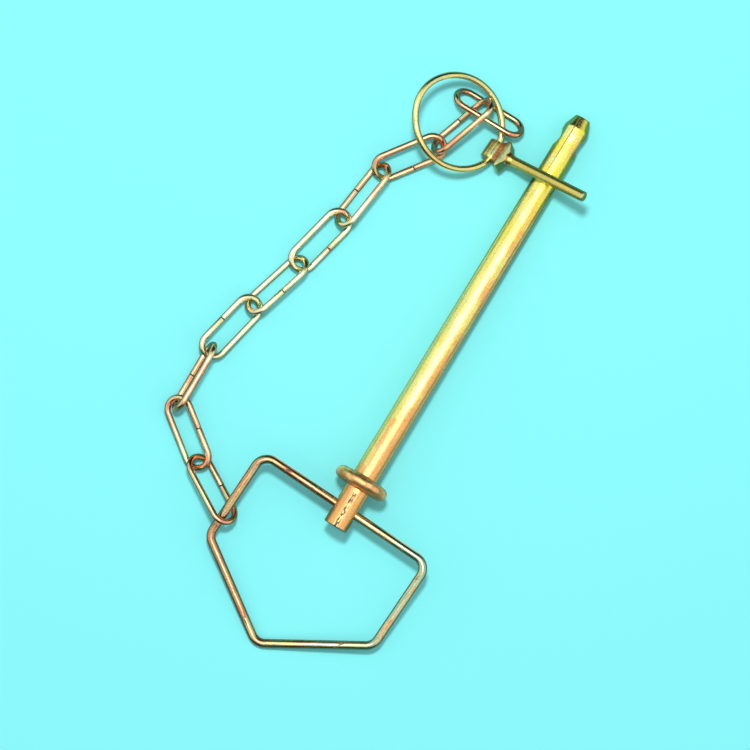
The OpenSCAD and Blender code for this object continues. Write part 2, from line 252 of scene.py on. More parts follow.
def surface_of(node):
    """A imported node's triangles, their weights by area, and the middle of its surface."""
    mesh = frame["nodes"][node].data
    mesh.calc_loop_triangles()
    places = np.array([vertex.co for vertex in mesh.vertices])
    corners = places[np.array([triangle.vertices for triangle in mesh.loop_triangles])]
    sides = corners[:, 1:] - corners[:, :1]
    areas = np.linalg.norm(np.cross(sides[:, 0], sides[:, 1]), axis=1)
    return corners, areas, np.average(corners.mean(axis=1), axis=0, weights=areas)


def middle_of(node):
    """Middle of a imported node's surface."""
    return Vector(surface_of(node)[2])


def hinge_of(joint):
    """A joint's place, and its unit axis."""
    return Vector(JOINTS[joint]["pos_m"]), direction(JOINTS[joint]["axis"])


def link_place(node):
    """A packed link's centre, the way it points, and the way to its seam's leg."""
    corners, areas, middle = surface_of(node)
    corners = corners - middle
    sums = corners.sum(axis=1)
    moment = np.einsum("n,nki,nkj->ij", areas, corners, corners)
    moment += np.einsum("n,ni,nj->ij", areas, sums, sums)
    axes = np.linalg.eigh(moment)[1][:, ::-1]
    spread = corners.reshape(-1, 3) @ axes
    centre = (spread.min(axis=0) + spread.max(axis=0)) / 2
    # The wire's two end faces draw the middle of the surface to their own leg
    toward_seam = -1 if centre[1] > 0 else 1
    return (
        Vector(middle + axes @ centre),
        Vector(axes[:, 0]),
        Vector(toward_seam * axes[:, 1]),
    )


def carry(piece, origin, along, across):
    """Carry a piece's mesh from its own X and Y axes to its place in the frame."""
    matrix = Matrix((along, across, along.cross(across))).transposed().to_4x4()
    matrix.translation = origin
    piece.data.transform(matrix)


# ---------------------------------------------------------------- modelling


def deselect_all():
    """Leave edit mode and deselect every object."""
    if bpy.context.object and bpy.context.object.mode != "OBJECT":
        bpy.ops.object.mode_set(mode="OBJECT")
    bpy.ops.object.select_all(action="DESELECT")


def select_only(piece):
    """Make one piece the only one selected, and the active one."""
    deselect_all()
    piece.select_set(True)
    bpy.context.view_layer.objects.active = piece


def add_disc(name, radius, place, sides):
    """A filled circle square to X, open in edit mode with its face selected."""
    deselect_all()
    bpy.ops.mesh.primitive_circle_add(
        vertices=sides,
        radius=radius,
        fill_type="NGON",
        location=(place, 0, 0),
        rotation=(0, math.pi / 2, 0),
    )
    piece = bpy.context.object
    piece.name = name
    bpy.ops.object.transform_apply(location=True, rotation=True, scale=True)
    bpy.ops.object.mode_set(mode="EDIT")
    bpy.ops.mesh.select_all(action="SELECT")
    return piece


def close_edit():
    """Turn all faces outwards and leave edit mode."""
    bpy.ops.mesh.select_all(action="SELECT")
    bpy.ops.mesh.normals_make_consistent(inside=False)
    bpy.ops.object.mode_set(mode="OBJECT")


def extrude(x, y=0.0, z=0.0):
    """Extrude what is selected by a step."""
    bpy.ops.mesh.extrude_region_move(TRANSFORM_OT_translate={"value": (x, y, z)})


# Space between the steps beside a corner. A run shorter than this many gets none.
RING_STEP = 0.5 * MM
RING_STEPS_NEEDED = 6


def with_rings(profile):
    """The profile with more steps beside its corners, so that wear stays near the edges."""
    steps = [profile[0]]
    for start, end in zip(profile, profile[1:]):
        length = math.dist(start, end)
        if length > RING_STEPS_NEEDED * RING_STEP:
            near = RING_STEP / length
            for share in (near, 2 * near, 1 - 2 * near, 1 - near):
                steps.append(tuple(a + share * (b - a) for a, b in zip(start, end)))
        steps.append(end)
    return steps


def turned(name, profile, sides):
    """A piece turned about X from steps of (place along X, radius)."""
    profile = with_rings(profile)
    place, radius = profile[0]
    piece = add_disc(name, radius, place, sides)
    for next_place, next_radius in profile[1:]:
        extrude(next_place - place)
        if next_radius != radius:
            ratio = next_radius / radius
            bpy.ops.transform.resize(value=(1, ratio, ratio))
        place, radius = next_place, next_radius
    close_edit()
    return piece


def drawn_block(name, sections):
    """A block drawn out along X through steps of (place, width along Y, height along Z)."""
    place, width, height = sections[0]
    deselect_all()
    bpy.ops.mesh.primitive_plane_add(size=1, rotation=(0, math.pi / 2, 0))
    piece = bpy.context.object
    piece.name = name
    bpy.ops.object.transform_apply(location=False, rotation=True, scale=False)
    bpy.ops.object.mode_set(mode="EDIT")
    bpy.ops.mesh.select_all(action="SELECT")
    bpy.ops.transform.resize(value=(1, width, height))
    bpy.ops.transform.translate(value=(place, 0, 0))
    for next_place, next_width, next_height in sections[1:]:
        extrude(next_place - place)
        bpy.ops.transform.resize(value=(1, next_width / width, next_height / height))
        place, width, height = next_place, next_width, next_height
    close_edit()
    return piece


def run(length):
    """A straight run of wire."""
    return (length, 0.0, 0.0)


def bend(turn, radius):
    """A bend in a wire. A positive turn goes left."""
    return (0.0, turn, radius)


def link_sizes(chain):
    """Radius of a link's noses at the wire's centre, and how far apart their hubs are."""
    nose_r = (chain.width - chain.wire) / 2
    return nose_r, chain.pitch + chain.wire - 2 * nose_r


# The longest steps of a bend, and of the line that a wire's grain follows
BEND_STEP = math.radians(9)
BEND_LENGTH = 0.9 * MM
GRAIN_STEP = 0.4 * MM
# Rounding of a wire's cut ends, as a share of its diameter
WIRE_END_ROUND = 0.09
WIRE_END_ANGLE = math.radians(50)
ROUND_SEGMENTS = 3


def bent_wire(name, diameter, moves):
    """A round wire swept from the origin, first along +X, through runs and bends in XY."""
    sides = bpy.context.scene.hitch_pin_finish.wire_sides
    piece = add_disc(name, diameter / 2, 0, sides)
    place, heading, stations = Vector((0, 0, 0)), 0.0, []
    for length, turn, radius in moves:
        ahead = Vector((math.cos(heading), math.sin(heading), 0))
        hub = place + math.copysign(radius, turn) * Vector((-ahead.y, ahead.x, 0))
        count = math.ceil((length + abs(turn) * radius) / GRAIN_STEP)
        for share in (step / count for step in range(count)):
            spoke = Matrix.Rotation(turn * share, 3, "Z") @ (place - hub)
            here = hub + spoke + share * length * ahead
            stations.append((*here, heading + turn * share))
        if turn:
            finest = max(1 / BEND_STEP, radius / BEND_LENGTH)
            steps = math.ceil(abs(turn) * finest)
            bpy.ops.mesh.spin(steps=steps, angle=-turn, center=hub, axis=(0, 0, 1))
            place = hub + Matrix.Rotation(turn, 3, "Z") @ (place - hub)
        else:
            extrude(*(length * ahead))
            place = place + length * ahead
        heading += turn
    stations.append((*place, heading))
    close_edit()
    round_edges(piece, WIRE_END_ROUND * diameter, ROUND_SEGMENTS, WIRE_END_ANGLE)
    mark_grain(piece, stations)
    return piece


def mark_grain(piece, stations):
    """Keep each point's place on the straightened wire, in millimetres, as its grain."""
    places = np.array([vertex.co for vertex in piece.data.vertices])
    line = np.array(stations)
    gaps = np.linalg.norm(places[:, None, :2] - line[None, :, :2], axis=2)
    nearest = gaps.argmin(axis=1)
    steps = np.linalg.norm(np.diff(line[:, :3], axis=0), axis=1)
    travel = np.concatenate(([0], np.cumsum(steps)))
    heading = line[nearest, 3]
    offset = places - line[nearest, :3]
    aside = offset[:, 1] * np.cos(heading) - offset[:, 0] * np.sin(heading)
    grain = np.stack((travel[nearest], aside, places[:, 2]), axis=1) / MM
    store_grain(piece, grain)


def store_grain(piece, grain):
    """Write the grain attribute, which the plating's streaks and scratches follow."""
    attribute = piece.data.attributes.new("grain", "FLOAT_VECTOR", "POINT")
    attribute.data.foreach_set("vector", np.asarray(grain, dtype=np.float32).ravel())


def mark_own_grain(piece):
    """Use the piece's own axes, in millimetres, as its grain."""
    store_grain(piece, [vertex.co / MM for vertex in piece.data.vertices])


def apply_modifier(piece, kind, **values):
    """Add a modifier with these values and apply it."""
    select_only(piece)
    modifier = piece.modifiers.new(kind.title(), kind)
    for key, value in values.items():
        setattr(modifier, key, value)
    bpy.ops.object.modifier_apply(modifier=modifier.name)


def round_edges(piece, width, segments, angle):
    """Round every edge that is sharper than an angle."""
    apply_modifier(
        piece,
        "BEVEL",
        width=width,
        segments=segments,
        limit_method="ANGLE",
        angle_limit=angle,
    )


def combine(piece, other, operation):
    """Join another piece to this one, or cut it out, and remove the other."""
    apply_modifier(piece, "BOOLEAN", operation=operation, solver="EXACT", object=other)
    bpy.data.objects.remove(other, do_unlink=True)


# Edges sharper than this stay sharp to the eye
SHARP_ANGLE = math.radians(40)


def smooth(piece):
    """Smooth shading that keeps the sharp edges."""
    select_only(piece)
    bpy.ops.object.shade_smooth_by_angle(angle=SHARP_ANGLE)


def finish_piece(piece, node, material):
    """Give a modelled piece its material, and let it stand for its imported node."""
    piece.data.materials.clear()
    piece.data.materials.append(material)
    smooth(piece)
    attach(piece, node)
    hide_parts(node)


# ---------------------------------------------------------------- shader nodes


def add_node(tree, kind, inputs=None, **settings):
    """Add a node with these settings, and link or set its inputs."""
    node = tree.nodes.new(kind)
    for key, value in settings.items():
        setattr(node, key, value)
    for key, value in (inputs or {}).items():
        if isinstance(value, bpy.types.NodeSocket):
            tree.links.new(value, node.inputs[key])
        else:
            node.inputs[key].default_value = value
    return node


def noise(tree, vector, scale=1.0, detail=2.0, roughness=0.5):
    """A noise texture on a vector."""
    values = {"Vector": vector, "Scale": scale, "Detail": detail, "Roughness": roughness}
    return add_node(tree, "ShaderNodeTexNoise", values).outputs["Fac"]


def stretched(tree, vector, scale):
    """A vector scaled along each axis."""
    values = {"Vector": vector, "Scale": scale}
    return add_node(tree, "ShaderNodeMapping", values).outputs["Vector"]


def split(tree, vector):
    """The three parts of a vector."""
    return add_node(tree, "ShaderNodeSeparateXYZ", {"Vector": vector}).outputs


def between(tree, value, span, levels=(0.0, 1.0)):
    """A value eased over a span, from the first level to the second."""
    values = {
        "Value": value,
        "From Min": span[0],
        "From Max": span[1],
        "To Min": levels[0],
        "To Max": levels[1],
    }
    node = add_node(tree, "ShaderNodeMapRange", values, interpolation_type="SMOOTHSTEP")
    return node.outputs["Result"]


def maths(tree, operation, *values):
    """A math node whose inputs are sockets or numbers."""
    values = dict(enumerate(values))
    return add_node(tree, "ShaderNodeMath", values, operation=operation).outputs["Value"]


def mixed(tree, factor, first, second, blend="MIX"):
    """A mix of two colours, which are inputs 6 and 7 of the mix node."""
    values = {0: factor, 6: first, 7: second}
    node = add_node(tree, "ShaderNodeMix", values, data_type="RGBA", blend_type=blend)
    return node.outputs[2]


# Spacing of the nodes in the node editor
COLUMN_WIDTH = 220
ROW_HEIGHT = 260


def arrange(tree):
    """Lay the nodes out in columns, each to the left of the nodes that it feeds."""
    column = {node.name: 0 for node in tree.nodes}
    for _ in tree.nodes:
        for link in tree.links:
            start, end = link.from_node.name, link.to_node.name
            column[start] = max(column[start], column[end] + 1)
    filled = {}
    for node in tree.nodes:
        place = column[node.name]
        filled[place] = filled.get(place, 0) + 1
        node.location = (-COLUMN_WIDTH * place, -ROW_HEIGHT * filled[place])


def new_group(name, inputs, outputs):
    """An empty node group with these sockets, and the outputs of its input node."""
    tree = bpy.data.node_groups.new(name, "ShaderNodeTree")
    for in_out, sockets in (("INPUT", inputs), ("OUTPUT", outputs)):
        for label, kind in sockets.items():
            tree.interface.new_socket(
                label, in_out=in_out, socket_type="NodeSocket" + kind
            )
    return tree, add_node(tree, "NodeGroupInput").outputs


def close_group(tree, outputs):
    """Link a group's outputs and lay its nodes out."""
    add_node(tree, "NodeGroupOutput", outputs)
    arrange(tree)
    return tree


def place_group(tree, build, values):
    """Place a node group, which is built the first time it is asked for."""
    name = build.__name__.replace("_", " ").capitalize()
    group = bpy.data.node_groups.get(name) or build(name)
    return add_node(tree, "ShaderNodeGroup", values, node_tree=group).outputs


def new_tree(owner):
    """The empty node tree of a new material or world."""
    owner.use_nodes = True
    owner.node_tree.nodes.clear()
    return owner.node_tree


def close_tree(tree, kind, surface):
    """Link a surface to the tree's output node and lay the nodes out."""
    add_node(tree, kind, {"Surface": surface})
    arrange(tree)


# ---------------------------------------------------------------- plating

# Grain is in millimetres along, across and up a piece, and place is in metres.

# How much finer the green patches are than the warm ones. Their noise is read at a
# mirrored place, so that the two kinds lie apart.
GREEN_FINENESS = 1.7
GREEN_MIRROR = (-1.0, 1.0, -1.0)
# A fine noise on the grain, and how far it moves the outlines of the patches
FINE_SCALE = 1.1
RAGGED = 0.5
# Noise at which a patch begins and is full
WARM_LEVELS = (0.92, 1.14)
GREEN_LEVELS = (0.50, 0.72)
# Cells of the streaks' noise along the grain, and how fast it drifts from place to place
STREAK_GRAIN = (0.04, 0.8, 0.8)
STREAK_DRIFT = (40.0, 40.0, 40.0)
# How far a streak moves the patches, and darkens or lightens the metal
STREAK_TINT = 0.7
STREAK_SHADE = 0.6


def passivated_tints(name):
    """Tints of yellow passivated zinc: soft patches, and streaks along the grain."""
    tree, given = new_group(
        name,
        {
            "Place": "Vector",
            "Grain": "Vector",
            "Light": "Color",
            "Warm": "Color",
            "Green": "Color",
            "Warmth": "Float",
            "Greenness": "Float",
            "Patch Scale": "Float",
            "Streaks": "Float",
        },
        {"Color": "Color"},
    )
    place, grain = given["Place"], given["Grain"]
    warm_patch = noise(tree, place, given["Patch Scale"], detail=3.0)
    green_scale = maths(tree, "MULTIPLY", given["Patch Scale"], GREEN_FINENESS)
    green_patch = noise(tree, stretched(tree, place, GREEN_MIRROR), green_scale)
    fine = noise(tree, grain, FINE_SCALE, detail=4.0, roughness=0.65)
    ragged = maths(tree, "MULTIPLY_ADD", fine, RAGGED, -RAGGED / 2)

    drifted = add_node(
        tree,
        "ShaderNodeVectorMath",
        {0: stretched(tree, grain, STREAK_GRAIN), 1: stretched(tree, place, STREAK_DRIFT)},
        operation="ADD",
    )
    streak = noise(tree, drifted.outputs["Vector"], detail=3.0, roughness=0.6)
    swing = maths(tree, "SUBTRACT", streak, 0.5)
    swing = maths(tree, "MULTIPLY", swing, given["Streaks"])

    warm = maths(tree, "ADD", warm_patch, ragged)
    warm = maths(tree, "ADD", warm, given["Warmth"])
    warm = maths(tree, "MULTIPLY_ADD", swing, STREAK_TINT, warm)
    warm = between(tree, warm, WARM_LEVELS)
    green = maths(tree, "ADD", green_patch, ragged)
    green = maths(tree, "ADD", green, given["Greenness"])
    green = maths(tree, "MULTIPLY_ADD", swing, -STREAK_TINT, green)
    green = between(tree, green, GREEN_LEVELS)
    shade = maths(tree, "MULTIPLY_ADD", swing, STREAK_SHADE, 1.0)

    colour = mixed(tree, green, given["Light"], given["Green"])
    colour = mixed(tree, warm, colour, given["Warm"])
    colour = mixed(tree, 1.0, colour, shade, "MULTIPLY")
    return close_group(tree, {"Color": colour})


# Noise at which a stain begins and is full, and its cells along the grain
STAIN_LEVELS = (0.68, 0.80)
STAIN_GRAIN = (0.10, 0.28, 0.28)
# Pits to a millimetre, how much of its cell a pit can fill, and how soft its rim is
PIT_SCALE = 0.85
PIT_REACH = 0.45
PIT_RIM = 0.10
# Noise at which a scratch begins and is full, its cells, and its depth
SCRATCH_LEVELS = (0.60, 0.72)
SCRATCH_GRAIN = (0.10, 4.0, 4.0)
SCRATCH_DEPTH = 0.4
# Sharpness at which an edge begins to wear and is worn, and how bare it gets
WORN_LEVELS = (0.54, 0.68)
WORN_BARE = 0.8
# The metal's fine mottle: its scale, its darkest shade, its range and its roughness
MOTTLE_SCALE = 1.3
MOTTLE_DARK = 0.55
MOTTLE_RANGE = 0.9
MOTTLE_ROUGHNESS = 0.18
# What a dark mark takes from the metal, and adds to its roughness
MARK_METAL = 0.85
MARK_ROUGHNESS = 0.3


def worn_plating(name):
    """Stains, pits, scratches and worn edges on a tint, with its roughness and height."""
    tree, given = new_group(
        name,
        {
            "Color": "Color",
            "Grain": "Vector",
            "Edge": "Float",
            "Mask": "Float",
            "Stain": "Color",
            "Bare": "Color",
            "Stains": "Float",
            "Pits": "Float",
            "Scratches": "Float",
            "Roughness": "Float",
        },
        {"Color": "Color", "Metallic": "Float", "Roughness": "Float", "Height": "Float"},
    )
    grain = given["Grain"]
    mottle = noise(tree, grain, MOTTLE_SCALE, detail=4.0, roughness=0.65)
    blotch = noise(tree, stretched(tree, grain, STAIN_GRAIN), detail=5.0, roughness=0.7)
    blotch = maths(tree, "ADD", blotch, given["Stains"])
    stained = between(tree, blotch, STAIN_LEVELS)

    cells = add_node(tree, "ShaderNodeTexVoronoi", {"Vector": grain, "Scale": PIT_SCALE})
    reach = maths(tree, "MULTIPLY", given["Pits"], PIT_REACH)
    pit = maths(tree, "SUBTRACT", reach, cells.outputs["Distance"])
    pit = between(tree, pit, (0.0, PIT_RIM))

    scratch = noise(tree, stretched(tree, grain, SCRATCH_GRAIN))
    scratch = between(tree, scratch, SCRATCH_LEVELS)
    scratched = maths(tree, "MULTIPLY", scratch, given["Scratches"])
    worn = between(tree, given["Edge"], WORN_LEVELS, (0.0, WORN_BARE))
    worn = maths(tree, "MULTIPLY", worn, mottle)
    marks = maths(tree, "MAXIMUM", stained, pit)
    marks = maths(tree, "MAXIMUM", marks, given["Mask"])

    speckle = maths(tree, "MULTIPLY_ADD", mottle, MOTTLE_RANGE, MOTTLE_DARK)
    colour = mixed(tree, 1.0, given["Color"], speckle, "MULTIPLY")
    colour = mixed(tree, scratched, colour, given["Bare"])
    colour = mixed(tree, marks, colour, given["Stain"])
    colour = mixed(tree, worn, colour, given["Bare"])
    metal = maths(tree, "MULTIPLY_ADD", marks, -MARK_METAL, 1.0)
    rough = maths(tree, "MULTIPLY_ADD", mottle, MOTTLE_ROUGHNESS, given["Roughness"])
    rough = maths(tree, "MULTIPLY_ADD", marks, MARK_ROUGHNESS, rough)
    height = maths(tree, "MULTIPLY_ADD", pit, -1.0, mottle)
    height = maths(tree, "MULTIPLY_ADD", scratch, -SCRATCH_DEPTH, height)
    return close_group(
        tree, {"Color": colour, "Metallic": metal, "Roughness": rough, "Height": height}
    )


# The clear film on all plating
FILM_WEIGHT = 0.5
FILM_ROUGHNESS = 0.06
BUMP_STRENGTH = 0.5


def passivated(name, tints, looks, marks=None):
    """Yellow passivated zinc in a piece's tints. marks adds what only that piece has."""
    finish = bpy.context.scene.hitch_pin_finish
    light, warm, green = (
        (*getattr(finish, tints + kind), 1) for kind in ("_light", "_warm", "_green")
    )
    material = bpy.data.materials.new(name)
    tree = new_tree(material)
    place = add_node(tree, "ShaderNodeTexCoord").outputs["Object"]
    grain = add_node(tree, "ShaderNodeAttribute", attribute_name="grain").outputs["Vector"]
    edge = add_node(tree, "ShaderNodeNewGeometry").outputs["Pointiness"]
    own = {
        "Light": light,
        "Mask": 0.0,
        "Warmth": looks.get("warmth", 0.0),
        "Greenness": 0.0,
        "Roughness": looks.get("roughness", 0.0),
        "Wear": 0.0,
    }
    own.update(marks(tree, grain, place) if marks else {})
    colour = place_group(
        tree,
        passivated_tints,
        {
            "Place": place,
            "Grain": grain,
            "Light": own["Light"],
            "Warm": warm,
            "Green": green,
            "Warmth": own["Warmth"],
            "Greenness": own["Greenness"],
            "Patch Scale": looks["patch_scale"],
            "Streaks": looks["streaks"],
        },
    )["Color"]
    worn = place_group(
        tree,
        worn_plating,
        {
            "Color": colour,
            "Grain": grain,
            "Edge": maths(tree, "ADD", edge, own["Wear"]),
            "Mask": own["Mask"],
            "Stain": (*finish.stain, 1),
            "Bare": (*finish.bare, 1),
            "Stains": looks["stains"],
            "Pits": looks["pits"],
            "Scratches": looks["scratches"],
            "Roughness": own["Roughness"],
        },
    )
    bump = add_node(
        tree,
        "ShaderNodeBump",
        {
            "Strength": BUMP_STRENGTH,
            "Distance": looks["bump"] * MM,
            "Height": worn["Height"],
        },
    )
    shader = add_node(
        tree,
        "ShaderNodeBsdfPrincipled",
        {
            "Base Color": worn["Color"],
            "Metallic": worn["Metallic"],
            "Roughness": worn["Roughness"],
            "Normal": bump.outputs["Normal"],
            "Coat Weight": FILM_WEIGHT,
            "Coat Roughness": FILM_ROUGHNESS,
        },
    )
    close_tree(tree, "ShaderNodeOutputMaterial", shader.outputs["BSDF"])
    return material


# ---------------------------------------------------------------- marks on each piece

# An effect begins at the first number of its span and is full at the second. Spans are
# in millimetres. Those along the shaft are from the collar's bearing face.

# The row of pits on the stub: its place, half its width, its noise and what shows of it
PIT_ROW_ALONG = (-8.5, -9.5)
PIT_ROW_ACROSS = (1.3, 0.5)
PIT_ROW_GRAIN = (0.35, 1.5, 0.0)
PIT_ROW_LEVELS = (0.45, 0.50)
# The fine line near the tip: where it begins and is full before the tip, its distance
# from the shaft's top line, half its width, and how dark it is
TIP_LINE_BEFORE = (34, 20)
TIP_LINE_ASIDE = 1.5
TIP_LINE_ACROSS = (0.30, 0.12)
TIP_LINE_DARK = 0.8
# Both are on the shaft's upper side alone
UPPER_SIDE = (0.0, 1.0)
# Warmth grows toward the stub, and toward the shaft's right, least so near the tip
WARM_ALONG = (62.0, -14.0)
WARM_SPREAD = (0.30, 0.98)
SIDE_ALONG = (-8.0, 6.0)
SIDE_WARMTH = -0.076
SIDE_FADE = (90.0, 150.0)
SIDE_SHARE_LEFT = 0.4
# A speckled stretch before the tip
SPECKLED_FROM = (95.0, 130.0)
SPECKLED_TO = (165.0, 140.0)
SPECKLED_WARMTH = 0.14
# Greenness of the shank, and how it grows to the shaft's left
GREEN_ALONG = (0.0, 25.0)
SHANK_GREENNESS = 0.15
SIDE_GREENNESS = 0.02
# The shank is smoother and more yellow toward the tip
POLISHED_ALONG = (85.0, 150.0)
POLISHED_SPREAD = (0.20, 0.05)
YELLOW_ALONG = (105.0, 150.0)
# The collar is duller, less warm and more worn, as far as this past its two faces
COLLAR_PAST = 0.2
COLLAR_ROUGHNESS = 0.10
COLLAR_WARMTH = -0.18
COLLAR_WEAR = 0.05
# Half the length over which a band's edge fades
BAND_FADE = 0.25


def band_at(tree, along, start, end):
    """1 between two places along the grain, with faded edges."""
    rise = between(tree, along, (start - BAND_FADE, start + BAND_FADE))
    fall = between(tree, along, (end + BAND_FADE, end - BAND_FADE))
    return maths(tree, "MULTIPLY", rise, fall)


def shaft_marks(tree, grain, place):
    """The pit row on the stub, the fine line near the tip, and how the tints change."""
    shaft = bpy.context.scene.hitch_pin_shaft
    finish = bpy.context.scene.hitch_pin_finish
    along, aside, up = split(tree, grain)

    spots = noise(tree, stretched(tree, grain, PIT_ROW_GRAIN), detail=4.0)
    row = between(tree, maths(tree, "ABSOLUTE", aside), PIT_ROW_ACROSS)
    row = maths(tree, "MULTIPLY", row, between(tree, spots, PIT_ROW_LEVELS))
    row = maths(tree, "MULTIPLY", row, between(tree, along, PIT_ROW_ALONG))
    tip = shaft.length / MM
    line_along = [tip - before for before in TIP_LINE_BEFORE]
    on_tip = between(tree, along, line_along, (0.0, TIP_LINE_DARK))
    off_line = maths(tree, "ABSOLUTE", maths(tree, "SUBTRACT", aside, TIP_LINE_ASIDE))
    line = between(tree, off_line, TIP_LINE_ACROSS)
    line = maths(tree, "MULTIPLY", line, on_tip)
    mask = maths(tree, "MAXIMUM", row, line)
    mask = maths(tree, "MULTIPLY", mask, between(tree, up, UPPER_SIDE))

    warmth = between(tree, along, WARM_ALONG, WARM_SPREAD)
    to_side = between(tree, along, SIDE_ALONG, (0.0, SIDE_WARMTH))
    side_share = between(tree, along, SIDE_FADE, (1.0, SIDE_SHARE_LEFT))
    to_side = maths(tree, "MULTIPLY", to_side, side_share)
    warmth = maths(tree, "MULTIPLY_ADD", aside, to_side, warmth)
    speckled = between(tree, along, SPECKLED_FROM, (0.0, SPECKLED_WARMTH))
    before_tip = between(tree, along, SPECKLED_TO)
    warmth = maths(tree, "MULTIPLY_ADD", speckled, before_tip, warmth)
    greenness = maths(tree, "MULTIPLY_ADD", aside, SIDE_GREENNESS, SHANK_GREENNESS)
    on_shank = between(tree, along, GREEN_ALONG)
    greenness = maths(tree, "MULTIPLY_ADD", greenness, on_shank, -SHANK_GREENNESS)

    collar_back = -shaft.collar_thickness / MM
    collar = band_at(tree, along, collar_back - COLLAR_PAST, COLLAR_PAST)
    dull = between(tree, along, POLISHED_ALONG, POLISHED_SPREAD)
    yellow = between(tree, along, YELLOW_ALONG)
    return {
        "Light": mixed(tree, yellow, (*finish.shaft_light, 1), (*finish.shaft_tip, 1)),
        "Mask": mask,
        "Warmth": maths(tree, "MULTIPLY_ADD", collar, COLLAR_WARMTH, warmth),
        "Greenness": greenness,
        "Roughness": maths(tree, "MULTIPLY_ADD", collar, COLLAR_ROUGHNESS, dull),
        "Wear": maths(tree, "MULTIPLY", collar, COLLAR_WEAR),
    }


# Copper bands on the lynch pin: where one lies behind the flange's back, and how far
# another reaches to both sides of the neck's end
WAIST_BAND = (-2.8, -0.4)
NECK_BAND = (-0.6, 0.6)
BAND_WARMTH = 0.45
PIN_WARMTH = 0.30
# The flange's greenness and warmth, and how far it falls short of the neck's end
FLANGE_GREENNESS = 0.35
FLANGE_WARMTH = -0.10
FLANGE_SHORT = 0.8


def pin_marks(tree, grain, place):
    """Copper bands behind the flange and at the neck, and a greenish head, darker by painted shade."""
    pin = bpy.context.scene.hitch_pin_lynch_pin
    finish = bpy.context.scene.hitch_pin_finish
    along = split(tree, grain)[0]
    front = pin.flange_place / MM
    back = front - pin.flange_thickness / MM
    neck = front + pin.neck_length / MM
    waist = band_at(tree, along, *(back + edge for edge in WAIST_BAND))
    root = band_at(tree, along, *(neck + edge for edge in NECK_BAND))
    flange = band_at(tree, along, back, neck - FLANGE_SHORT)
    bands = maths(tree, "MAXIMUM", waist, root)
    warmth = maths(tree, "MULTIPLY_ADD", bands, BAND_WARMTH, PIN_WARMTH)
    # The head takes the darker tint: painted shade
    painted_head_shade = between(tree, along, (neck, front))
    return {
        "Light": mixed(tree, painted_head_shade, (*finish.pin_light, 1), (*finish.pin_head_painted_shade, 1)),
        "Warmth": maths(tree, "MULTIPLY_ADD", flange, FLANGE_WARMTH, warmth),
        "Greenness": maths(tree, "MULTIPLY", flange, FLANGE_GREENNESS),
    }


# Spans across the handle, and what they reach
HANDLE_WARM_ACROSS = (-40 * MM, 35 * MM)
HANDLE_WARM_SPREAD = (0.33, 0.60)
HANDLE_GREEN_ACROSS = (-5 * MM, -45 * MM)
HANDLE_GREEN_SPREAD = (-0.05, 0.20)


def handle_marks(tree, grain, place):
    """Copper at the handle's left and green at its right."""
    across = split(tree, place)[1]
    return {
        "Warmth": between(tree, across, HANDLE_WARM_ACROSS, HANDLE_WARM_SPREAD),
        "Greenness": between(tree, across, HANDLE_GREEN_ACROSS, HANDLE_GREEN_SPREAD),
    }


# Half the width of the burnt band at a link's seam, from where it fades to where it is full
SEAM_BAND = (0.55, 0.20)
# Where the chain's links turn pale and warm again, along the shaft's direction
PALE_FROM = (-5 * MM, 25 * MM)
PALE_TO = (125 * MM, 100 * MM)
PALE_WARMTH = -0.20
PALE_GREENNESS = 0.08
CHAIN_WARMTH = 0.56


def chain_marks(tree, grain, place):
    """Burnt bands beside each seam, and paler links in the middle of the chain."""
    chain = bpy.context.scene.hitch_pin_chain
    finish = bpy.context.scene.hitch_pin_finish
    nose_r, nose_span = link_sizes(chain)
    wire_length = (2 * nose_span + 2 * math.pi * nose_r - chain.seam) / MM
    along = split(tree, grain)[0]
    from_end = maths(tree, "SUBTRACT", wire_length, along)
    to_seam = maths(tree, "MINIMUM", along, from_end)
    down_chain = split(tree, place)[0]
    pale_from = between(tree, down_chain, PALE_FROM)
    pale = maths(tree, "MULTIPLY", pale_from, between(tree, down_chain, PALE_TO))
    return {
        "Light": mixed(tree, pale, (*finish.chain_light, 1), (*finish.chain_pale, 1)),
        "Mask": between(tree, to_seam, SEAM_BAND),
        "Warmth": maths(tree, "MULTIPLY_ADD", pale, PALE_WARMTH, CHAIN_WARMTH),
        "Greenness": maths(tree, "MULTIPLY", pale, PALE_GREENNESS),
    }


# ---------------------------------------------------------------- operators


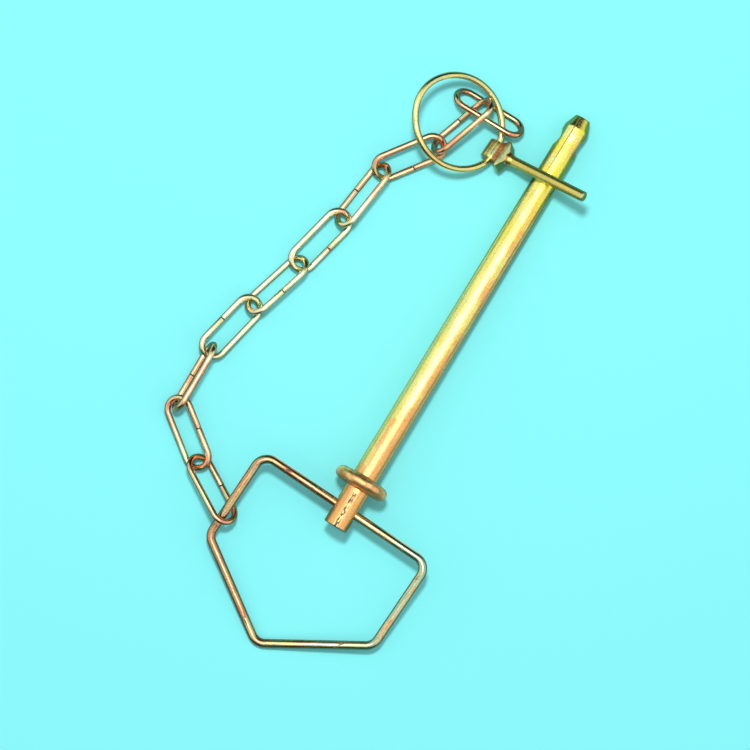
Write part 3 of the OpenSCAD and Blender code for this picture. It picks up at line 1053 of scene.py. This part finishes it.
class HITCHPIN_OT_shaft(bpy.types.Operator):
    """Turn the shaft with its round collar, and drill its two cross holes"""

    bl_idname = "hitchpin.shaft"
    bl_label = "Shaft"

    rim_steps = 14
    sharp_angle = math.radians(55)
    bore_sides = 64
    # Size of the hammer marks, and the share of them that lies under the collar's surface
    dent_size = 2.2 * MM
    dent_level = 0.72
    looks = {
        "patch_scale": 55,
        "streaks": 1.2,
        "stains": -0.06,
        "pits": 0.2,
        "scratches": 0.8,
        "bump": 0.14,
    }

    def execute(self, context):
        s = context.scene.hitch_pin_shaft
        radius = s.diameter / 2
        stub_end = -s.collar_thickness - s.stub_length
        profile = [
            (stub_end, radius),
            (-s.collar_thickness - s.collar_fillet, radius),
            (-s.collar_thickness, radius + s.collar_fillet),
            *self.collar_rim(s),
            (0, radius + s.collar_fillet),
            (s.collar_fillet, radius),
            (s.length - s.tip_length, radius),
            (s.length, s.tip_diameter / 2),
        ]
        shaft = turned("plated_shaft", profile, s.sides)
        round_edges(shaft, s.edge_round, ROUND_SEGMENTS, self.sharp_angle)
        self.dent_collar(shaft, s)
        self.drill(shaft, s, stub_end + s.eye_from_end, s.eye_diameter)
        self.drill(shaft, s, s.length - s.pin_hole_from_tip, s.pin_hole_diameter)
        mark_own_grain(shaft)
        along = direction(MOUNTS["pin"]["axis"])
        carry(shaft, Vector((0, 0, 0)), along, Vector((0, 1, 0)))
        material = passivated("Shaft plating", "shaft", self.looks, shaft_marks)
        finish_piece(shaft, "shaft", material)
        return {"FINISHED"}

    def collar_rim(self, s):
        """Steps round the collar's rim, from its back face to its bearing face."""
        rim = s.collar_thickness / 2
        middle = s.collar_diameter / 2 - rim
        angles = [math.pi * step / self.rim_steps for step in range(self.rim_steps + 1)]
        return [(-rim - rim * math.cos(a), middle + rim * math.sin(a)) for a in angles]

    def dent_collar(self, shaft, s):
        """Press shallow hammer marks into the collar's round rim."""
        rim = shaft.vertex_groups.new(name="rim")
        edge = s.diameter / 2 + 2 * s.collar_fillet
        for vertex in shaft.data.vertices:
            if math.hypot(vertex.co.y, vertex.co.z) > edge:
                rim.add([vertex.index], 1.0, "REPLACE")
        dents = bpy.data.textures.new("Hammer marks", "CLOUDS")
        dents.noise_scale = self.dent_size
        apply_modifier(
            shaft,
            "DISPLACE",
            texture=dents,
            strength=s.collar_dents,
            mid_level=self.dent_level,
            vertex_group="rim",
        )

    def drill(self, shaft, s, place, diameter):
        """Drill a hole across the shaft, with a countersink at both ends."""
        reach, bore, flare = s.diameter, diameter / 2, s.countersink
        mouth = math.sqrt(s.diameter ** 2 / 4 - bore ** 2) - flare
        cutter = turned(
            "cutter",
            [
                (-reach, bore + reach - mouth),
                (-mouth, bore),
                (mouth, bore),
                (reach, bore + reach - mouth),
            ],
            self.bore_sides,
        )
        cutter.data.transform(
            Matrix.Translation((place, 0, 0)) @ Matrix.Rotation(math.pi / 2, 4, "Z")
        )
        combine(shaft, cutter, "DIFFERENCE")


class HITCHPIN_OT_handle(bpy.types.Operator):
    """Bend the five-sided wire handle"""

    bl_idname = "hitchpin.handle"
    bl_label = "Handle"

    looks = {
        "patch_scale": 40,
        "streaks": 2.0,
        "stains": 0.11,
        "pits": 0.0,
        "scratches": 0.3,
        "roughness": 0.07,
        "bump": 0.03,
    }

    def execute(self, context):
        h = context.scene.hitch_pin_handle
        radius = h.bend_radius
        edge_x = h.depth - h.side
        edge_turn = math.atan2(h.width / 2, edge_x)
        edge_tangent = radius * math.tan(edge_turn / 2)
        point_turn = math.pi - 2 * edge_turn
        point_tangent = radius * math.tan(point_turn / 2)
        half_base = run((h.width - h.seam) / 2 - radius)
        corner = bend(math.pi / 2, radius)
        side = run(h.side - radius - edge_tangent)
        slant = run(math.hypot(h.width / 2, edge_x) - edge_tangent - point_tangent)
        shoulder = bend(edge_turn, radius)
        half = [half_base, corner, side, shoulder, slant]
        moves = half + [bend(point_turn, radius)] + half[::-1]
        handle = bent_wire("plated_handle", h.wire, moves)

        eye, hinge = hinge_of("handle_swing")
        across = -hinge
        back = square_to(middle_of("handle") - eye, across)
        carry(handle, eye + h.seam / 2 * across, across, back)
        material = passivated("Handle plating", "handle", self.looks, handle_marks)
        finish_piece(handle, "handle", material)
        return {"FINISHED"}


class HITCHPIN_OT_chain(bpy.types.Operator):
    """Bend one link, and copy it to every place in the chain"""

    bl_idname = "hitchpin.chain"
    bl_label = "Chain"

    looks = {
        "patch_scale": 70,
        "streaks": 1.3,
        "stains": 0.04,
        "pits": 0.0,
        "scratches": 0.3,
        "roughness": 0.09,
        "bump": 0.03,
    }

    def execute(self, context):
        c = context.scene.hitch_pin_chain
        nose_r, nose_span = link_sizes(c)
        half_leg = run((nose_span - c.seam) / 2)
        nose = bend(-math.pi, nose_r)
        moves = [half_leg, nose, run(nose_span), nose, half_leg]
        pattern = bent_wire("pattern_link", c.wire, moves)
        pattern.data.transform(Matrix.Translation((c.seam / 2, nose_r, 0)))
        material = passivated("Chain plating", "chain", self.looks, chain_marks)
        for node in LINK_NODES:
            link = pattern.copy()
            link.data = pattern.data.copy()
            link.name = "plated_" + node
            context.scene.collection.objects.link(link)
            carry(link, *link_place(node))
            finish_piece(link, node, material)
        bpy.data.objects.remove(pattern, do_unlink=True)
        return {"FINISHED"}


class HITCHPIN_OT_ring(bpy.types.Operator):
    """Bend the oval ring, whose ends turn into the lynch pin's head"""

    bl_idname = "hitchpin.ring"
    bl_label = "Ring"

    looks = {
        "patch_scale": 60,
        "streaks": 1.2,
        "stains": 0.02,
        "pits": 0.0,
        "scratches": 0.3,
        "roughness": 0.12,
        "bump": 0.03,
        "warmth": 0.38,
    }

    def execute(self, context):
        r = context.scene.hitch_pin_ring
        pin = context.scene.hitch_pin_lynch_pin
        end_centre = r.length / 2 - r.end_radius
        side_offset = r.width / 2 - r.end_radius
        side_centre = (end_centre ** 2 - side_offset ** 2) / (2 * side_offset)
        end_angle = math.atan2(side_centre, end_centre)
        stub = pin.head_width / 2 + pin.clearance
        turn_angle = math.asin(stub / (r.end_radius - r.turn_radius))
        half = [
            run(stub - r.seam / 2),
            bend(turn_angle, r.turn_radius),
            bend(end_angle - turn_angle, r.end_radius),
            bend(math.pi - 2 * end_angle, r.width / 2 + side_centre),
        ]
        moves = half + [bend(2 * end_angle, r.end_radius)] + half[::-1]
        ring = bent_wire("plated_ring", r.wire, moves)

        head, hinge = hinge_of("lynch_pin_swing")
        across = square_to(middle_of("ring") - head, hinge)
        carry(ring, head + r.seam / 2 * hinge, hinge, across)
        material = passivated("Ring plating", "ring", self.looks)
        finish_piece(ring, "ring", material)
        return {"FINISHED"}


class HITCHPIN_OT_lynch_pin(bpy.types.Operator):
    """Forge the lynch pin: a ribbed round head, a flared flange, and a neck and stem"""

    bl_idname = "hitchpin.lynch_pin"
    bl_label = "Lynch pin"

    # Grooves along the round head
    ribs = 14
    faces_per_rib = 4
    rib_depth = 0.26 * MM
    # The body behind the flange, as shares of the head's height and width. It flares from
    # flare_start on, in this many steps, and is nearly as high as the head at the flange.
    waist = 0.84
    root_width = 0.96
    full_height = 0.98
    flare_start = 1.0 * MM
    flare_steps = 6
    # The flange, whose front is narrower, and the root that sinks into the neck
    flange_height = 0.99
    front_width = 0.86
    root_sink = 1.0 * MM
    root_reach = 0.6
    turned_sides = 48
    edge_round = 0.22 * MM
    round_segments = 2
    sharp_angle = math.radians(38)
    looks = {
        "patch_scale": 70,
        "streaks": 1.3,
        "stains": 0.0,
        "pits": 0.1,
        "scratches": 0.3,
        "roughness": 0.20,
        "bump": 0.04,
    }

    def execute(self, context):
        p = context.scene.hitch_pin_lynch_pin
        pin = self.flared_body(p)
        combine(pin, self.ribbed_barrel(p), "UNION")
        combine(pin, self.stem(p), "UNION")
        hole = turned(
            "cutter",
            [(-p.flange_width, p.ring_hole / 2), (p.flange_width, p.ring_hole / 2)],
            self.turned_sides,
        )
        hole.data.transform(Matrix.Rotation(math.pi / 2, 4, "Z"))
        combine(pin, hole, "DIFFERENCE")
        round_edges(pin, self.edge_round, self.round_segments, self.sharp_angle)
        apply_modifier(pin, "SUBSURF", subdivision_type="SIMPLE", levels=2)
        mark_own_grain(pin)

        head, hinge = hinge_of("lynch_pin_swing")
        carry(pin, head, square_to(middle_of("lynch_pin") - head, hinge), hinge)
        material = passivated("Lynch pin plating", "pin", self.looks, pin_marks)
        finish_piece(pin, "lynch_pin", material)
        return {"FINISHED"}

    def flared_body(self, p):
        """The body from inside the head to the flange's front, drawn out along X."""
        back = p.flange_place - p.flange_thickness
        flare = back - self.flare_start
        widening = p.flange_width - p.head_width
        heightening = self.full_height - self.waist
        sections = [(0.0, self.root_width * p.head_width, self.waist * p.head_diameter)]
        for step in range(self.flare_steps):
            angle = math.pi / 2 * (step + 1) / self.flare_steps
            rise = 1 - math.cos(angle)
            sections.append((
                self.flare_start + flare * math.sin(angle),
                p.head_width + widening * rise,
                p.head_diameter * (self.waist + heightening * rise),
            ))
        height = self.flange_height * p.head_diameter
        root = p.neck_diameter - self.root_sink
        sections += [
            (back + p.flange_thickness / 2, p.flange_width, height),
            (p.flange_place, self.front_width * p.flange_width, height),
            (p.flange_place + self.root_reach * p.neck_length, root, root),
        ]
        return drawn_block("plated_lynch_pin", sections)

    def ribbed_barrel(self, p):
        """The round head about the ring's hole, with shallow grooves along it."""
        deselect_all()
        columns = self.ribs * self.faces_per_rib
        bpy.ops.mesh.primitive_cylinder_add(
            vertices=columns,
            radius=p.head_diameter / 2,
            depth=p.head_width,
            rotation=(math.pi / 2, 0, 0),
        )
        barrel = bpy.context.object
        bpy.ops.object.transform_apply(location=False, rotation=True, scale=False)
        turn = 2 * math.pi / columns
        bpy.ops.object.mode_set(mode="EDIT")
        bpy.ops.mesh.select_all(action="DESELECT")
        bpy.ops.mesh.select_mode(type="VERT")
        bpy.ops.object.mode_set(mode="OBJECT")
        for vertex in barrel.data.vertices:
            column = round(math.atan2(vertex.co.z, vertex.co.x) / turn)
            vertex.select = column % self.faces_per_rib == 0
        bpy.ops.object.mode_set(mode="EDIT")
        ratio = 1 - self.rib_depth / (p.head_diameter / 2)
        bpy.ops.transform.resize(value=(ratio, 1, ratio))
        close_edit()
        return barrel

    def stem(self, p):
        """The neck, its taper, and the stem with its chamfered end."""
        neck_end = p.flange_place + p.neck_length
        radius = p.stem_diameter / 2
        return turned(
            "stem",
            [
                (p.flange_place - p.flange_thickness, p.neck_diameter / 2),
                (neck_end, p.neck_diameter / 2),
                (neck_end + p.neck_length, radius),
                (p.stem_length - p.stem_chamfer, radius),
                (p.stem_length, radius - p.stem_chamfer),
            ],
            self.turned_sides,
        )


class HITCHPIN_OT_stage(bpy.types.Operator):
    """Set up the floor, the studio light and the camera"""

    bl_idname = "hitchpin.stage"
    bl_label = "Stage"

    floor_size = 6.0
    floor_roughness = 0.9
    # Spans over which the floor that metal shows becomes lit: outward from the shaft's
    # centre line, inward from far beside it, on from behind the collar, and back from the
    # tip, as distances before the tip
    lit_beside = (12 * MM, 30 * MM)
    lit_within = (60 * MM, 38 * MM)
    lit_after = (-25 * MM, -5 * MM)
    lit_before_tip = (35 * MM, 65 * MM)
    # Brightness of the studio, as (height over the dim ends of the horizon, level)
    sky = ((0.0, 0.02), (0.25, 0.08), (0.45, 0.55), (0.62, 1.0), (1.0, 1.0))
    # Share of the sky's light that falls on the floor. The rest is the key light's.
    sky_fill = 0.65
    # What the studio's light gains in height beside the shaft, and loses at both ends
    side_light = 0.70
    end_shade = 0.66
    # What it loses further beyond the tip, and gains there on the side away from the chain
    tip_shade = 0.10
    tip_skew = 0.70
    # Brightness of the lamp overhead as metal shows it, and its reach along X and Y
    glint = 4.2
    glint_reach = (0.30, 0.55)
    # From the middle of the object's box to what the camera looks at, in millimetres
    aim_offset = (-8.3, -4.9, -8.5)
    sensor_width = 36
    nearest_seen = 0.05
    farthest_seen = 20

    def execute(self, context):
        s = context.scene.hitch_pin_stage
        self.add_floor(s)
        context.scene.world = self.studio(s)
        level = math.cos(s.view_elevation)
        back = Vector((
            math.sin(s.view_azimuth) * level,
            -math.cos(s.view_azimuth) * level,
            math.sin(s.view_elevation),
        ))
        aim = (CAD_BOX[0] + CAD_BOX[1]) / 2 + Vector(self.aim_offset) * MM
        self.add_camera(context, s, aim, back)
        self.add_key(s, aim, Vector((-back.x, -back.y, 0)).normalized())
        context.scene.view_settings.view_transform = "Standard"
        return {"FINISHED"}

    def add_floor(self, s):
        """A plain floor. Metal shows it dim, but for two lit strips beside the shaft."""
        deselect_all()
        bpy.ops.mesh.primitive_plane_add(size=self.floor_size, location=(0, 0, FLOOR_Z))
        floor = bpy.context.object
        floor.name = "floor"
        material = bpy.data.materials.new("Floor")
        tree = new_tree(material)
        place = add_node(tree, "ShaderNodeTexCoord").outputs["Object"]
        ahead, aside = split(tree, place)[:2]
        aside = maths(tree, "ABSOLUTE", aside)
        tip = CAD_BOX[1].x
        lit = between(tree, aside, self.lit_beside)
        for value, span in (
            (ahead, self.lit_after),
            (aside, self.lit_within),
            (ahead, [tip - before for before in self.lit_before_tip]),
        ):
            lit = maths(tree, "MULTIPLY", lit, between(tree, value, span))
        shown = mixed(tree, lit, (*s.dim_floor, 1), (*s.lit_floor, 1))
        path = add_node(tree, "ShaderNodeLightPath")
        plain = add_node(
            tree,
            "ShaderNodeBsdfPrincipled",
            {
                "Base Color": (*s.floor_colour, 1),
                "Roughness": self.floor_roughness,
                "Specular IOR Level": 0.0,
            },
        )
        in_metal = add_node(tree, "ShaderNodeBsdfDiffuse", {"Color": shown})
        surface = add_node(
            tree,
            "ShaderNodeMixShader",
            {
                0: path.outputs["Is Glossy Ray"],
                1: plain.outputs["BSDF"],
                2: in_metal.outputs["BSDF"],
            },
        )
        close_tree(tree, "ShaderNodeOutputMaterial", surface.outputs["Shader"])
        floor.data.materials.append(material)

    def studio(self, s):
        """A soft overhead sky above a dim horizon, which the camera sees as plain."""
        world = bpy.data.worlds.new("Studio")
        tree = new_tree(world)
        place = add_node(tree, "ShaderNodeTexCoord").outputs["Generated"]
        path = add_node(tree, "ShaderNodeLightPath").outputs
        glossy = path["Is Glossy Ray"]
        ahead, aside, height = split(tree, place)
        for value, share in (
            (maths(tree, "ABSOLUTE", aside), self.side_light),
            (ahead, -self.tip_shade),
            (maths(tree, "ABSOLUTE", ahead), -self.end_shade),
            (maths(tree, "MULTIPLY", ahead, aside), -self.tip_skew),
        ):
            height = maths(tree, "MULTIPLY_ADD", value, share, height)
        ramp = add_node(tree, "ShaderNodeValToRGB", {"Fac": height})
        elements = ramp.color_ramp.elements
        while len(elements) < len(self.sky):
            elements.new(0.5)
        for element, (position, level) in zip(elements, self.sky):
            element.position = position
            element.color = (level, level, level, 1)

        far_x, far_y = (
            maths(tree, "MULTIPLY", value, 1 / reach)
            for value, reach in zip((ahead, aside), self.glint_reach)
        )
        far = maths(tree, "MULTIPLY", far_x, far_x)
        far = maths(tree, "MULTIPLY_ADD", far_y, far_y, far)
        overhead = between(tree, far, (1.0, 0.0), (0.0, self.glint))
        fill = maths(tree, "MULTIPLY_ADD", glossy, 1 - self.sky_fill, self.sky_fill)
        strength = maths(tree, "MULTIPLY_ADD", overhead, glossy, fill)
        sky = add_node(
            tree,
            "ShaderNodeBackground",
            {"Color": ramp.outputs["Color"], "Strength": strength},
        )
        plain = add_node(tree, "ShaderNodeBackground", {"Color": (*s.floor_colour, 1)})
        surface = add_node(
            tree,
            "ShaderNodeMixShader",
            {
                0: path["Is Camera Ray"],
                1: sky.outputs["Background"],
                2: plain.outputs["Background"],
            },
        )
        close_tree(tree, "ShaderNodeOutputWorld", surface.outputs["Shader"])
        return world

    def add_key(self, s, aim, ahead):
        """A round lamp overhead, past the object as the camera sees it."""
        up = Vector((0, 0, math.sin(s.key_elevation)))
        toward = up + ahead * math.cos(s.key_elevation)
        deselect_all()
        bpy.ops.object.light_add(type="AREA", location=aim + toward * s.key_distance)
        key = bpy.context.object
        key.name = "key_light"
        key.data.shape = "DISK"
        key.data.size = s.key_size
        key.data.energy = s.key_power
        key.visible_camera = False
        key.visible_glossy = False
        self.point(key, -toward)

    def add_camera(self, context, s, aim, back):
        """A long lens that looks down at the object."""
        deselect_all()
        bpy.ops.object.camera_add(location=aim + back * s.view_distance)
        camera = bpy.context.object
        camera.data.sensor_width = self.sensor_width
        camera.data.lens = self.sensor_width * s.view_distance / s.view_width
        camera.data.clip_start = self.nearest_seen
        camera.data.clip_end = self.farthest_seen
        self.point(camera, -back)
        context.scene.camera = camera

    def point(self, item, heading):
        """Point a light or the camera along a heading."""
        item.rotation_mode = "QUATERNION"
        item.rotation_quaternion = heading.to_track_quat("-Z", "Y")


class HITCHPIN_PT_panel(bpy.types.Panel):
    """Lists a button for each group of pieces, and the settings"""

    bl_label = "Hitch Pin"
    bl_idname = "HITCHPIN_PT_panel"
    bl_space_type = "VIEW_3D"
    bl_region_type = "UI"
    bl_category = "Hitch Pin"

    def draw(self, context):
        for operator in OPERATORS:
            self.layout.operator(operator.bl_idname)
        for name, group in SETTINGS:
            box = self.layout.box()
            for key in group.__annotations__:
                box.prop(getattr(context.scene, name), key)


OPERATORS = (
    HITCHPIN_OT_shaft,
    HITCHPIN_OT_handle,
    HITCHPIN_OT_chain,
    HITCHPIN_OT_ring,
    HITCHPIN_OT_lynch_pin,
    HITCHPIN_OT_stage,
)
SETTINGS = (
    ("hitch_pin_shaft", HitchPinShaftSettings),
    ("hitch_pin_handle", HitchPinHandleSettings),
    ("hitch_pin_chain", HitchPinChainSettings),
    ("hitch_pin_ring", HitchPinRingSettings),
    ("hitch_pin_lynch_pin", HitchPinLynchPinSettings),
    ("hitch_pin_finish", HitchPinFinishSettings),
    ("hitch_pin_stage", HitchPinStageSettings),
)


def register():
    for name, group in SETTINGS:
        bpy.utils.register_class(group)
        setattr(bpy.types.Scene, name, PointerProperty(type=group))
    for operator in OPERATORS:
        bpy.utils.register_class(operator)
    bpy.utils.register_class(HITCHPIN_PT_panel)


def unregister():
    bpy.utils.unregister_class(HITCHPIN_PT_panel)
    for operator in reversed(OPERATORS):
        bpy.utils.unregister_class(operator)
    for name, group in reversed(SETTINGS):
        delattr(bpy.types.Scene, name)
        bpy.utils.unregister_class(group)


def main():
    register()
    bpy.ops.hitchpin.shaft()
    bpy.ops.hitchpin.handle()
    bpy.ops.hitchpin.chain()
    bpy.ops.hitchpin.ring()
    bpy.ops.hitchpin.lynch_pin()
    bpy.ops.hitchpin.stage()


if __name__ == "__main__":
    main()
